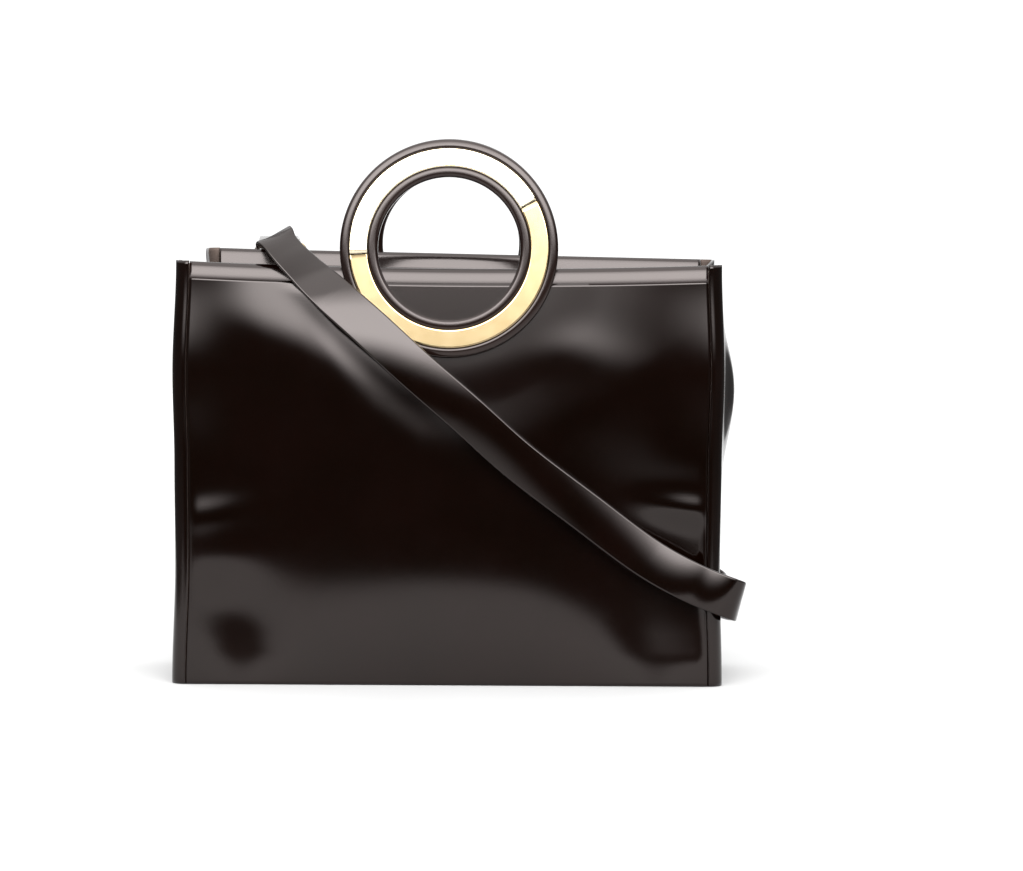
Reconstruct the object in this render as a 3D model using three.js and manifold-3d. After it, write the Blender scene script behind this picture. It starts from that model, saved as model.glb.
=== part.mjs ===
// A leather tote bag with a ring handle on each broad side and a shoulder strap.
// Millimetres, +Z up. The front faces -Y and the origin is on the floor under the middle of the base.
import * as THREE from "three";
import { mergeVertices } from "three/addons/utils/BufferGeometryUtils.js";
import Module from "manifold-3d";

// Gap between neighbouring pieces that touch on the real bag
const CLEARANCE = 0.3;

// Body
const BODY_WIDTH = 354;
const BODY_HEIGHT = 271;
const BASE_DEPTH = 120;
const TOP_DEPTH = 110;
const LEATHER = 2;
const BASE_THICKNESS = 2.6;
const CORNER_RADIUS = 9;
const FOLD_RISE = 5;

// Bands inside a panel's edges in which its folds die out
const FOLD_FADE = { side: 13.5, foot: 26, hem: 15 };

// The crease where a panel's upper part starts to lean back: softness of its turn, band inside the
// panel's sides in which it dies out, and the share of the height over which the belly grows from the foot
const CREASE_SOFTNESS = 5;
const CREASE_FADE = 45;
const BELLY_START = 0.3;

// The top's left corner at the back is gathered inwards: how far, and the x, y and height shares from
// which the leather is drawn
const GATHER = 14;
const GATHER_FROM = { x: 0.7, y: -0.5, height: 0.55 };

// Inward fold of a gusset's upper part, how far its top edge dips there, and the share of the height
// where the fold starts
const GUSSET_VALLEY = 12;
const GUSSET_DIP = 9;
const VALLEY_START = 0.55;

// Top lines of the two panels against BODY_HEIGHT: lift in the middle with no sag, rise towards
// the panel's own right-hand end seen from outside, and sag in the middle
const FRONT_TOP = { lift: 0, tilt: -0.5, sag: 3.7 };
const BACK_TOP = { lift: 3, tilt: 3, sag: 0 };

// Rolled hem along the top of each panel
const HEM_HEIGHT = 10;
const HEM_THICKNESS = 6.5;

// Section of the hem with the band turned down inside, as shares of its thickness out from the panel's
// face and of its height
const HEM_SECTION = [
  { out: -1.2, up: -0.7 },
  { out: -1.05, up: -0.74 },
  { out: -0.7, up: -0.1 },
  { out: -LEATHER / HEM_THICKNESS, up: 0 },
  { out: 0, up: 0 },
  { out: 0, up: 0.12 },
  { out: -0.08, up: 0.52 },
  { out: -0.26, up: 0.88 },
  { out: -0.54, up: 1 },
  { out: -0.79, up: 0.78 },
  { out: -0.89, up: 0.5 },
  { out: -1, up: 0.1 },
];

// Ring handles
const RING_OUTER_RADIUS = 69.6;
const RING_HOLE_RADIUS = 45.3;
const RING_THICKNESS = 9;
const RING_EDGE = 2.5;
const RING_RISE = 9;
const RING_TILT = 3.7;
const RING_TOUCH_DROP = 6;
const PLATE_OUTER_RADIUS = 63.6;
const PLATE_INNER_RADIUS = 51.9;
const PLATE_THICKNESS = 2;
const PLATE_PROUD = 0.5;
const PLATE_SEAM = 0.6;
const SEAM_ANGLES = { left: -94, right: 61 };
const RING_FLAT_MARGIN = 4;
const RING_FLAT_FADE = 30;

// Hidden screws that hold each ring, placed by their angle from the ring's lowest point
const SCREW_RADIUS = 2;
const SCREW_HEAD_RADIUS = 6;
const SCREW_HEAD_THICKNESS = 2;
const SCREW_BITE = 4;
const SCREW_ANGLE = 40;

// Shoulder strap with its wire rings and the leather tabs that hold them
const STRAP_WIDTH = 26;
const STRAP_THICKNESS = 2.4;
const STRAP_LAP = 18;
const STRAP_STEP = 8;
const RING_WIRE_RADIUS = 1.75;
const RING_INNER_WIDTH = 28;
const RING_INNER_HEIGHT = 10.5;
const RING_CORNER_RADIUS = 4;
const RING_SPACING = 0.64 * BODY_WIDTH;
const TAB_WIDTH = 24;
const TAB_THICKNESS = 1.8;
const TAB_LENGTH = 30;
const TAB_DROP = 6;
const TAB_FLAT_RADIUS = 23;
const TAB_FLAT_FADE = 24;

// Facets, and the distance within which two corners count as one
const WELD = 1e-4;
const PANEL_COLUMNS = 18;
const WALL_ROWS = 16;
const CORNER_STEPS = 3;
const GUSSET_STEPS = 6;
const RING_SEGMENTS = 40;
const WIRE_SIDES = 6;
const SCREW_SIDES = 12;
const TURN_STEPS = 6;

// Level sections of the body: widths as shares of BODY_WIDTH, depths as shares of the two named depths
const BODY_SECTIONS = [
  { height: 0.0, width: 1.0, base: 1.0, top: 0.0 },
  { height: 0.28, width: 0.989, base: 1.0, top: 0.0 },
  { height: 0.52, width: 0.992, base: 0.5, top: 0.545 },
  { height: 0.74, width: 1.0, base: 0.0, top: 1.06 },
  { height: 1.0, width: 0.988, base: 0.0, top: 1.0 },
];

// Folds of a panel: place x as a share of half the width and height as a share of the height,
// length and breadth as shares of the width and height, turn in degrees, rise as a share of FOLD_RISE
const FRONT_FOLDS = [
  { x: -0.9, height: 0.405, length: 0.09, breadth: 0.042, turn: 10, rise: 0.2 },
  { x: -0.8, height: 0.2, length: 0.1, breadth: 0.038, turn: -5, rise: 0.1 },
  { x: -0.77, height: 0.17, length: 0.08, breadth: 0.09, turn: -8, rise: -0.14 },
  { x: 0.42, height: 0.8, length: 0.13, breadth: 0.06, turn: -18, rise: 0.11 },
  { x: 0.88, height: 0.42, length: 0.08, breadth: 0.034, turn: -8, rise: 0.3 },
  { x: 0.82, height: 0.31, length: 0.3, breadth: 0.17, turn: -40, rise: -0.5 },
  { x: -0.345, height: 0.835, length: 0.14, breadth: 0.03, turn: -43, rise: 0.24 },
];
const BACK_FOLDS = [
  { x: 0.84, height: 0.38, length: 0.09, breadth: 0.034, turn: -7, rise: 0.4 },
  { x: -0.85, height: 0.24, length: 0.09, breadth: 0.036, turn: 9, rise: 0.4 },
];

// The crease of a panel: x as a share of half the width, height as a share of the height, and how far
// the leather below it stands out
const FRONT_CREASE = [
  { x: -0.94, height: 0.905, stand: 0.9 },
  { x: -0.85, height: 0.89, stand: 1.4 },
  { x: -0.75, height: 0.865, stand: 2.2 },
  { x: -0.665, height: 0.84, stand: 3.2 },
  { x: -0.54, height: 0.812, stand: 4.6 },
  { x: -0.42, height: 0.765, stand: 5.6 },
  { x: -0.27, height: 0.655, stand: 6.2 },
  { x: -0.1, height: 0.575, stand: 7.0 },
  { x: 0.1, height: 0.565, stand: 7.1 },
  { x: 0.3, height: 0.6, stand: 6.6 },
  { x: 0.55, height: 0.7, stand: 4.8 },
  { x: 0.77, height: 0.77, stand: 2.2 },
  { x: 0.91, height: 0.85, stand: 0.9 },
];
const BACK_CREASE = [
  { x: -0.92, height: 0.85, stand: 4.0 },
  { x: -0.05, height: 0.5, stand: 7.5 },
  { x: 0.92, height: 0.87, stand: 4.5 },
];

// Folds of a gusset: across as a share of half the depth, height and breadth as shares of the height,
// reach as a share of half the depth, rise as a share of FOLD_RISE
const RIGHT_GUSSET_FOLDS = [
  { across: -0.3, height: 0.68, reach: 0.75, breadth: 0.17, rise: 1.35 },
  { across: 0.2, height: 0.33, reach: 0.5, breadth: 0.08, rise: -0.7 },
];
const LEFT_GUSSET_FOLDS = [
  { across: 0.1, height: 0.55, reach: 0.7, breadth: 0.2, rise: 0.5 },
  { across: -0.2, height: 0.3, reach: 0.5, breadth: 0.07, rise: -0.7 },
];

// The strap between its two loops. x and y are shares of half the width and half the depth there,
// height a share of the height, out a share of the ring handle's stand-off, measured away from the body
// in the plan direction facing (0 front, 90 right, 180 back). In degrees, lean is the rise of the
// strap's right edge and tip how far that edge falls back.
const STRAP_ROUTE = [
  { x: -0.64, y: -0.1, height: 1.04, out: 0, facing: 0, lean: 8, tip: 15 },
  { x: -0.645, y: -0.6, height: 1.05, out: 0, facing: 0, lean: 22, tip: 32 },
  { x: -0.635, y: -0.93, height: 1.057, out: 0, facing: 0, lean: 33, tip: 44 },
  { x: -0.585, y: -1.0, height: 1.022, out: 0.35, facing: 0, lean: 40, tip: 43 },
  { x: -0.52, y: -1.0, height: 0.981, out: 0.75, facing: 0, lean: 43, tip: 36 },
  { x: -0.42, y: -1.0, height: 0.925, out: 1.28, facing: 0, lean: 46, tip: 20 },
  { x: -0.29, y: -1.0, height: 0.853, out: 1.55, facing: 0, lean: 48, tip: 10 },
  { x: -0.12, y: -1.0, height: 0.753, out: 1.58, facing: 0, lean: 49, tip: 4 },
  { x: 0.07, y: -1.0, height: 0.646, out: 1.38, facing: 0, lean: 50, tip: 0 },
  { x: 0.25, y: -1.0, height: 0.542, out: 1.14, facing: 0, lean: 51, tip: 0 },
  { x: 0.49, y: -1.0, height: 0.424, out: 0.96, facing: 0, lean: 54, tip: 2.5 },
  { x: 0.74, y: -1.0, height: 0.306, out: 0.93, facing: 0, lean: 59, tip: 5 },
  { x: 0.91, y: -1.0, height: 0.247, out: 0.86, facing: 0, lean: 65, tip: 3.2 },
  { x: 1.0, y: -1.0, height: 0.21, out: 1.05, facing: 52, lean: 74, tip: 1 },
  { x: 1.0, y: -0.7, height: 0.198, out: 1.0, facing: 90, lean: 78, tip: 0 },
  { x: 1.0, y: -0.1, height: 0.185, out: 0.6, facing: 90, lean: 84, tip: 0 },
  { x: 1.0, y: 0.55, height: 0.176, out: 0.38, facing: 90, lean: 82, tip: 0 },
  { x: 1.0, y: 0.93, height: 0.182, out: 0.38, facing: 130, lean: 72, tip: 0 },
  { x: 0.93, y: 1.0, height: 0.225, out: 0.6, facing: 180, lean: 60, tip: 0 },
  { x: 0.76, y: 1.0, height: 0.4, out: 0.8, facing: 180, lean: 36, tip: 0 },
  { x: 0.655, y: 1.0, height: 0.62, out: 0.9, facing: 180, lean: 10, tip: 0 },
];

const wasm = await Module();
wasm.setup();

const leatherBrown = { color: 0x1e1412, roughness: 0.28, metalness: 0 };
const hemBrown = { color: 0x2a1e1b, roughness: 0.32, metalness: 0 };
const ringBrown = { color: 0x33261f, roughness: 0.4, metalness: 0 };
const paleGold = { color: 0xe6cf9a, roughness: 0.18, metalness: 1 };
const screwSteel = { color: 0x9a8f7c, roughness: 0.4, metalness: 1 };

function piece(name, geometry, look) {
  const mesh = new THREE.Mesh(geometry, new THREE.MeshStandardMaterial(look));
  mesh.name = name;
  return mesh;
}

function toSolid(geometry) {
  const bare = geometry.clone();
  bare.deleteAttribute("normal");
  bare.deleteAttribute("uv");
  const merged = mergeVertices(bare, WELD);
  return new wasm.Manifold(
    new wasm.Mesh({
      numProp: 3,
      vertProperties: new Float32Array(merged.attributes.position.array),
      triVerts: new Uint32Array(merged.index.array),
    })
  );
}

function toGeometry(solid) {
  const mesh = solid.getMesh();
  const geometry = new THREE.BufferGeometry();
  geometry.setAttribute("position", new THREE.BufferAttribute(mesh.vertProperties, 3));
  geometry.setIndex(new THREE.BufferAttribute(mesh.triVerts, 1));
  geometry.computeVertexNormals();
  return geometry;
}

function cutAway(geometry, tools) {
  return toGeometry(tools.reduce((solid, tool) => solid.subtract(toSolid(tool)), toSolid(geometry)));
}

function fromFaces(points, faces) {
  const geometry = new THREE.BufferGeometry().setFromPoints(points);
  geometry.setIndex(faces);
  geometry.computeVertexNormals();
  return geometry;
}

// A sheet of leather between two grids of points, seen from outside with rows upward, columns rightward
function sheet(outer, inner) {
  const rows = outer.length;
  const columns = outer[0].length;
  const points = [...outer.flat(), ...inner.flat()];
  const last = columns - 1;
  const out = (row, column) => row * columns + column;
  const into = (row, column) => rows * columns + out(row, column);
  const faces = [];
  const quad = (a, b, c, d) => faces.push(a, b, c, a, c, d);
  for (let row = 0; row < rows - 1; row++) {
    for (let column = 0; column < last; column++) {
      quad(out(row, column), out(row, column + 1), out(row + 1, column + 1), out(row + 1, column));
      quad(into(row, column), into(row + 1, column), into(row + 1, column + 1), into(row, column + 1));
    }
    quad(out(row, 0), out(row + 1, 0), into(row + 1, 0), into(row, 0));
    quad(out(row, last), into(row, last), into(row + 1, last), out(row + 1, last));
  }
  const top = rows - 1;
  for (let column = 0; column < last; column++) {
    quad(out(0, column), into(0, column), into(0, column + 1), out(0, column + 1));
    quad(out(top, column), out(top, column + 1), into(top, column + 1), into(top, column));
  }
  return fromFaces(points, faces);
}

// A bar through equal rings of points, each turning right-handed about the way the bar runs
function bar(rings, closed) {
  const sides = rings[0].length;
  const spans = closed ? rings.length : rings.length - 1;
  const at = (ring, side) => (ring % rings.length) * sides + (side % sides);
  const faces = [];
  for (let ring = 0; ring < spans; ring++) {
    for (let side = 0; side < sides; side++) {
      faces.push(at(ring, side), at(ring, side + 1), at(ring + 1, side + 1));
      faces.push(at(ring, side), at(ring + 1, side + 1), at(ring + 1, side));
    }
  }
  if (!closed) {
    for (let side = 1; side < sides - 1; side++) {
      faces.push(at(0, 0), at(0, side + 1), at(0, side));
      faces.push(at(spans, 0), at(spans, side), at(spans, side + 1));
    }
  }
  return fromFaces(rings.flat(), faces);
}

// A strip of leather along stations of centre point and across direction
function strip(stations, width, thickness) {
  const edge = { outer: [], inner: [] };
  stations.forEach(({ point, across }, index) => {
    const before = stations[Math.max(index - 1, 0)].point;
    const after = stations[Math.min(index + 1, stations.length - 1)].point;
    const along = new THREE.Vector3().subVectors(after, before).normalize();
    const normal = new THREE.Vector3().crossVectors(along, across).normalize();
    const side = new THREE.Vector3().crossVectors(normal, along).normalize();
    for (const [face, sign] of [["outer", 1], ["inner", -1]]) {
      const middle = point.clone().addScaledVector(normal, (sign * thickness) / 2);
      edge[face].push([
        middle.clone().addScaledVector(side, -width / 2),
        middle.clone().addScaledVector(side, width / 2),
      ]);
    }
  });
  return sheet(edge.inner, edge.outer);
}

// Value of a column of a section table at a height share, eased between its rows
function fromTable(table, height, column) {
  const next = table.findIndex((row) => row.height >= height);
  if (next <= 0) {
    return next === 0 ? table[0][column] : table[table.length - 1][column];
  }
  const low = table[next - 1];
  const high = table[next];
  const share = THREE.MathUtils.smoothstep(height, low.height, high.height);
  return THREE.MathUtils.lerp(low[column], high[column], share);
}

function halfWidth(z) {
  return (fromTable(BODY_SECTIONS, z / BODY_HEIGHT, "width") * BODY_WIDTH) / 2;
}

function halfDepth(z) {
  const height = z / BODY_HEIGHT;
  const base = fromTable(BODY_SECTIONS, height, "base") * BASE_DEPTH;
  const top = fromTable(BODY_SECTIONS, height, "top") * TOP_DEPTH;
  return (base + top) / 2;
}

// Height of a panel's top line at x, which runs from the panel's left to its right seen from outside
function topLine(x, top) {
  const share = x / halfWidth(BODY_HEIGHT);
  return BODY_HEIGHT + top.lift + top.tilt * share - top.sag * (1 - share * share);
}

const panelReach = (z) => halfWidth(z) - CORNER_RADIUS - CLEARANCE;
const ringHeight = BODY_HEIGHT + RING_RISE;
const ringTilt = THREE.MathUtils.degToRad(RING_TILT);
const ringTouch = BODY_HEIGHT - RING_TOUCH_DROP;
const tabTop = BODY_HEIGHT - TAB_DROP;
const ringBack = TOP_DEPTH / 2 + CLEARANCE;
const ringFace = ringBack + RING_THICKNESS;
const standOff = RING_THICKNESS + PLATE_PROUD + CLEARANCE;
const plateMiddle = (PLATE_OUTER_RADIUS + PLATE_INNER_RADIUS) / 2;

// Where the crease runs at x and how far the leather below it stands out
function creaseAt(x, crease) {
  const share = THREE.MathUtils.clamp((2 * x) / BODY_WIDTH, crease[0].x, crease[crease.length - 1].x);
  const next = Math.max(crease.findIndex((row) => row.x >= share), 1);
  const part = THREE.MathUtils.inverseLerp(crease[next - 1].x, crease[next].x, share);
  const height = THREE.MathUtils.lerp(crease[next - 1].height, crease[next].height, part);
  const stand = THREE.MathUtils.lerp(crease[next - 1].stand, crease[next].stand, part);
  return { foot: height * BODY_HEIGHT, stand };
}

// Depth of a panel's face: upright below the crease and leaning back above it, even along its sides
function leaningDepth(x, z, crease) {
  const { foot, stand } = creaseAt(x, crease);
  const head = BODY_HEIGHT - HEM_HEIGHT;
  const above = CREASE_SOFTNESS * Math.log1p(Math.exp((z - foot) / CREASE_SOFTNESS));
  const wanted = TOP_DEPTH / 2 + stand * (1 - Math.min(above / (head - foot), 1));
  const edge = THREE.MathUtils.smoothstep(panelReach(z) - Math.abs(x), 0, CREASE_FADE);
  const rise = 1 - (1 - Math.min(z / (BELLY_START * BODY_HEIGHT), 1)) ** 2;
  return halfDepth(z) + (wanted - halfDepth(z)) * edge * rise;
}

function panelRelief(x, z, folds) {
  const edge = THREE.MathUtils.smoothstep(panelReach(z) - Math.abs(x), 0, FOLD_FADE.side);
  const foot = THREE.MathUtils.smoothstep(z, 0, FOLD_FADE.foot);
  const head = THREE.MathUtils.smoothstep(BODY_HEIGHT - HEM_HEIGHT - z, 0, FOLD_FADE.hem);
  const rise = folds.reduce((sum, fold) => {
    const turn = THREE.MathUtils.degToRad(fold.turn);
    const dx = x - (fold.x * BODY_WIDTH) / 2;
    const dz = z - fold.height * BODY_HEIGHT;
    const along = (dx * Math.cos(turn) + dz * Math.sin(turn)) / (fold.length * BODY_WIDTH);
    const aside = (dz * Math.cos(turn) - dx * Math.sin(turn)) / (fold.breadth * BODY_HEIGHT);
    return sum + fold.rise * FOLD_RISE * Math.exp(-along * along - aside * aside);
  }, 0);
  return rise * edge * foot * head;
}

// A panel's outer face at x and z. The leather is flat behind the strap's tabs, and behind the ring
// handle it lies along the ring's back.
function panelOut(x, z, side) {
  let out = leaningDepth(x, z, side.crease) + panelRelief(x, z, side.folds);
  if (side.hasTabs) {
    const tabMiddle = tabTop - TAB_LENGTH / 2;
    const fromTab = Math.hypot(Math.abs(x) - RING_SPACING / 2, z - tabMiddle) - TAB_FLAT_RADIUS;
    const tabShare = THREE.MathUtils.smoothstep(fromTab, 0, TAB_FLAT_FADE);
    out = THREE.MathUtils.lerp(TOP_DEPTH / 2, out, tabShare);
  }
  const behindRing = TOP_DEPTH / 2 + Math.tan(ringTilt) * (ringTouch - z);
  const fromRing = Math.hypot(x, z - ringHeight) - RING_OUTER_RADIUS - RING_FLAT_MARGIN;
  return THREE.MathUtils.lerp(behindRing, out, THREE.MathUtils.smoothstep(fromRing, 0, RING_FLAT_FADE));
}

function steps(count) {
  return Array.from({ length: count + 1 }, (unused, index) => index / count);
}

function panelGeometry(side) {
  const outer = [];
  const inner = [];
  for (const up of steps(WALL_ROWS)) {
    const row = { outer: [], inner: [] };
    for (const share of steps(PANEL_COLUMNS)) {
      const across = 2 * share - 1;
      const top = topLine(across * panelReach(BODY_HEIGHT), side.top) - HEM_HEIGHT - CLEARANCE;
      const z = THREE.MathUtils.lerp(CLEARANCE, top, up);
      const x = across * panelReach(z);
      const out = panelOut(x, z, side);
      row.outer.push(new THREE.Vector3(x, -out, z));
      row.inner.push(new THREE.Vector3(x, LEATHER - out, z));
    }
    outer.push(row.outer);
    inner.push(row.inner);
  }
  return sheet(outer, inner);
}

function hemGeometry(top) {
  const rings = steps(PANEL_COLUMNS).map((share) => {
    const x = (2 * share - 1) * panelReach(BODY_HEIGHT);
    const foot = topLine(x, top) - HEM_HEIGHT;
    return HEM_SECTION.map(({ out, up }) => {
      const y = -TOP_DEPTH / 2 - out * HEM_THICKNESS;
      return new THREE.Vector3(x, y, foot + up * HEM_HEIGHT);
    });
  });
  return bar(rings.map((ring) => ring.reverse()), false);
}

const screwPlaces = [
  { name: "left", angle: -SCREW_ANGLE },
  { name: "right", angle: SCREW_ANGLE },
].map(({ name, angle }) => {
  const turn = THREE.MathUtils.degToRad(angle);
  return { name, x: plateMiddle * Math.sin(turn), z: ringHeight - plateMiddle * Math.cos(turn) };
});

// Round tool along Y at a screw, from the inside of the bag to the end of the screw's bite
function screwBore() {
  const start = LEATHER + CLEARANCE;
  const end = SCREW_BITE + 2 * CLEARANCE;
  return screwPlaces.map(({ x, z }) => {
    const radius = SCREW_RADIUS + CLEARANCE;
    const tool = new THREE.CylinderGeometry(radius, radius, start + end, SCREW_SIDES);
    return tool.translate(x, -TOP_DEPTH / 2 + (start - end) / 2, z);
  });
}

// Leans a part of the ring handle back with the panel, about the line where the ring touches the hem
function leaned(geometry) {
  const moved = geometry.translate(0, ringBack, -ringTouch).rotateX(-ringTilt);
  return moved.translate(0, -ringBack, ringTouch);
}

function screwGeometry(place) {
  const tip = CLEARANCE + SCREW_BITE;
  const under = LEATHER + CLEARANCE;
  const profile = [
    [0, -tip],
    [SCREW_RADIUS, -tip],
    [SCREW_RADIUS, under],
    [SCREW_HEAD_RADIUS, under],
    [SCREW_HEAD_RADIUS, under + SCREW_HEAD_THICKNESS],
    [0, under + SCREW_HEAD_THICKNESS],
  ].map(([radius, inward]) => new THREE.Vector2(radius, inward));
  const screw = new THREE.LatheGeometry(profile, SCREW_SIDES);
  return leaned(screw.translate(place.x, -TOP_DEPTH / 2, place.z));
}

// Section of the leather-covered ring with the groove for the gold plate in its outer face.
// The lathe turns about Y, so the ring's outer face is the one at the lowest Y.
function ringGeometry() {
  const face = -ringFace;
  const back = -ringBack;
  const floor = face + PLATE_THICKNESS - PLATE_PROUD + CLEARANCE;
  const cut = RING_EDGE * (1 - Math.SQRT1_2);
  const profile = [
    [RING_HOLE_RADIUS, face + RING_EDGE],
    [RING_HOLE_RADIUS + cut, face + cut],
    [RING_HOLE_RADIUS + RING_EDGE, face],
    [PLATE_INNER_RADIUS - CLEARANCE, face],
    [PLATE_INNER_RADIUS - CLEARANCE, floor],
    [PLATE_OUTER_RADIUS + CLEARANCE, floor],
    [PLATE_OUTER_RADIUS + CLEARANCE, face],
    [RING_OUTER_RADIUS - RING_EDGE, face],
    [RING_OUTER_RADIUS - cut, face + cut],
    [RING_OUTER_RADIUS, face + RING_EDGE],
    [RING_OUTER_RADIUS, back - RING_EDGE],
    [RING_OUTER_RADIUS - RING_EDGE, back],
    [RING_HOLE_RADIUS + RING_EDGE, back],
    [RING_HOLE_RADIUS, back - RING_EDGE],
    [RING_HOLE_RADIUS, face + RING_EDGE],
  ].map(([radius, y]) => new THREE.Vector2(radius, y));
  const turned = new THREE.LatheGeometry(profile, RING_SEGMENTS).translate(0, 0, ringHeight);
  return leaned(cutAway(turned, screwBore()));
}

// A flat arc of the gold plate between two angles, measured clockwise from the ring's highest point
function plateGeometry(from, to) {
  const seam = THREE.MathUtils.radToDeg(PLATE_SEAM / 2 / PLATE_INNER_RADIUS);
  const start = THREE.MathUtils.degToRad(90 - from - seam);
  const end = THREE.MathUtils.degToRad(90 - to + seam);
  const shape = new THREE.Shape();
  shape.absarc(0, 0, PLATE_OUTER_RADIUS, start, end, true);
  shape.absarc(0, 0, PLATE_INNER_RADIUS, end, start, false);
  const plate = new THREE.ExtrudeGeometry(shape, {
    depth: PLATE_THICKNESS,
    bevelEnabled: false,
    curveSegments: Math.ceil((RING_SEGMENTS * (to - from)) / 360),
  });
  const back = -ringFace - PLATE_PROUD + PLATE_THICKNESS;
  return leaned(plate.rotateX(Math.PI / 2).translate(0, back, ringHeight));
}

// Draws the upper corner at a piece's right, seen from outside, in towards the middle
function gathered(geometry) {
  const spot = geometry.attributes.position;
  const from = GATHER_FROM;
  for (let index = 0; index < spot.count; index++) {
    const across = THREE.MathUtils.smoothstep(spot.getX(index), (from.x * BODY_WIDTH) / 2, BODY_WIDTH / 2);
    const deep = THREE.MathUtils.smoothstep(-spot.getY(index), (from.y * TOP_DEPTH) / 2, TOP_DEPTH / 2);
    const up = THREE.MathUtils.smoothstep(spot.getZ(index), from.height * BODY_HEIGHT, BODY_HEIGHT);
    spot.setX(index, spot.getX(index) - GATHER * across * deep * up);
  }
  geometry.computeVertexNormals();
  return geometry;
}

// Panel, hem and ring handle of one broad side, made as the front and turned round for the back
function broadSide(side) {
  const group = new THREE.Group();
  const { left, right } = SEAM_ANGLES;
  const shaped = (geometry) => (side.isGathered ? gathered(geometry) : geometry);
  const panel = cutAway(shaped(panelGeometry(side)), screwBore().map(leaned));
  group.add(
    piece(`${side.name}_panel`, panel, leatherBrown),
    piece(`${side.name}_hem`, shaped(hemGeometry(side.top)), hemBrown),
    piece(`${side.name}_ring`, ringGeometry(), ringBrown),
    piece(`${side.name}_ring_plate_upper`, plateGeometry(left, right), paleGold),
    piece(`${side.name}_ring_plate_lower`, plateGeometry(right, left + 360), paleGold)
  );
  for (const place of screwPlaces) {
    group.add(piece(`${side.name}_ring_screw_${place.name}`, screwGeometry(place), screwSteel));
  }
  group.rotation.z = side.turn;
  return group;
}

function gussetRelief(y, z, folds) {
  const half = halfDepth(z) - CORNER_RADIUS;
  const edge = Math.cos(((y / half) * Math.PI) / 2);
  const height = z / BODY_HEIGHT;
  const valley = -GUSSET_VALLEY * THREE.MathUtils.smoothstep(height, VALLEY_START, 1) * edge * edge;
  return folds.reduce((sum, fold) => {
    const aside = (y - fold.across * half) / (fold.reach * half);
    const up = (height - fold.height) / fold.breadth;
    return sum + fold.rise * FOLD_RISE * edge * Math.exp(-aside * aside - up * up);
  }, valley);
}

// Plan line of a gusset at a share of its height: its left corner seen from outside, side, right corner.
// Its top runs from the top line of the panel on its left to that of the panel on its right.
function gussetLine(up, inset, gusset) {
  const [leftPanel, rightPanel] = gusset.between;
  const reach = halfWidth(BODY_HEIGHT);
  const tops = [topLine(reach, leftPanel), topLine(-reach, rightPanel)];
  const place = (share, locate) => {
    const dip = GUSSET_DIP * Math.sin(Math.PI * share) ** 2;
    const top = THREE.MathUtils.lerp(tops[0], tops[1], share) - dip;
    const z = THREE.MathUtils.lerp(CLEARANCE, top, up);
    const middleX = halfWidth(z) - CORNER_RADIUS;
    const middleY = halfDepth(z) - CORNER_RADIUS;
    return locate(middleX, middleY, z);
  };
  const radius = CORNER_RADIUS - inset;
  const corner = (turn, sign) =>
    place(sign > 0 ? 1 : 0, (middleX, middleY, z) => {
      const y = sign * (middleY + radius * Math.cos(turn));
      return new THREE.Vector3(middleX + radius * Math.sin(turn), y, z);
    });
  const left = steps(CORNER_STEPS).map((share) => corner((share * Math.PI) / 2, -1));
  const right = steps(CORNER_STEPS).map((share) => corner(((1 - share) * Math.PI) / 2, 1));
  const side = steps(GUSSET_STEPS).slice(1, -1).map((share) =>
    place(share, (middleX, middleY, z) => {
      const y = (2 * share - 1) * middleY;
      return new THREE.Vector3(middleX + radius + gussetRelief(y, z, gusset.folds), y, z);
    })
  );
  return [...left, ...side, ...right];
}

function gussetPiece(gusset) {
  const outer = steps(WALL_ROWS).map((up) => gussetLine(up, 0, gusset));
  const inner = steps(WALL_ROWS).map((up) => gussetLine(up, LEATHER, gusset));
  const wall = sheet(outer, inner);
  const mesh = piece(gusset.name, gusset.isGathered ? gathered(wall) : wall, leatherBrown);
  mesh.rotation.z = gusset.turn;
  return mesh;
}

function basePanel() {
  const inset = LEATHER + CLEARANCE;
  const halfX = halfWidth(0) - inset;
  const halfY = halfDepth(0) - inset;
  const radius = CORNER_RADIUS - inset;
  const shape = new THREE.Shape();
  shape.absarc(halfX - radius, halfY - radius, radius, 0, Math.PI / 2, false);
  shape.absarc(radius - halfX, halfY - radius, radius, Math.PI / 2, Math.PI, false);
  shape.absarc(radius - halfX, radius - halfY, radius, Math.PI, 1.5 * Math.PI, false);
  shape.absarc(halfX - radius, radius - halfY, radius, 1.5 * Math.PI, 2 * Math.PI, false);
  const settings = { depth: BASE_THICKNESS, bevelEnabled: false, curveSegments: CORNER_STEPS };
  return piece("base_panel", new THREE.ExtrudeGeometry(shape, settings), leatherBrown);
}

// Leather folded round a wire: the lap, the turn and the run that goes on, as points in the plane of
// Y and Z. away points from the wire along the leather and lies degrees above +Y or below it.
function foldedEnd(wire, awayAngle, thickness, lap, run, turnSign) {
  const turn = THREE.MathUtils.degToRad(awayAngle);
  const away = new THREE.Vector3(0, Math.cos(turn), Math.sin(turn));
  const aside = new THREE.Vector3(0, -Math.sin(turn), Math.cos(turn)).multiplyScalar(turnSign);
  const layer = (thickness + CLEARANCE) / 2;
  const round = RING_WIRE_RADIUS + CLEARANCE + thickness / 2;
  const at = (along, over) =>
    wire.clone().addScaledVector(away, along).addScaledVector(aside, over);
  const arc = steps(TURN_STEPS).map((share) => {
    const angle = Math.PI * (share - 0.5);
    return at(-round * Math.cos(angle), round * Math.sin(angle));
  });
  const straight = 2 * round;
  const start = [at(lap, -layer), at(straight, -layer)];
  const onward = [at(straight, layer), at(run, layer)];
  return [...start, ...arc, ...onward];
}

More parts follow.
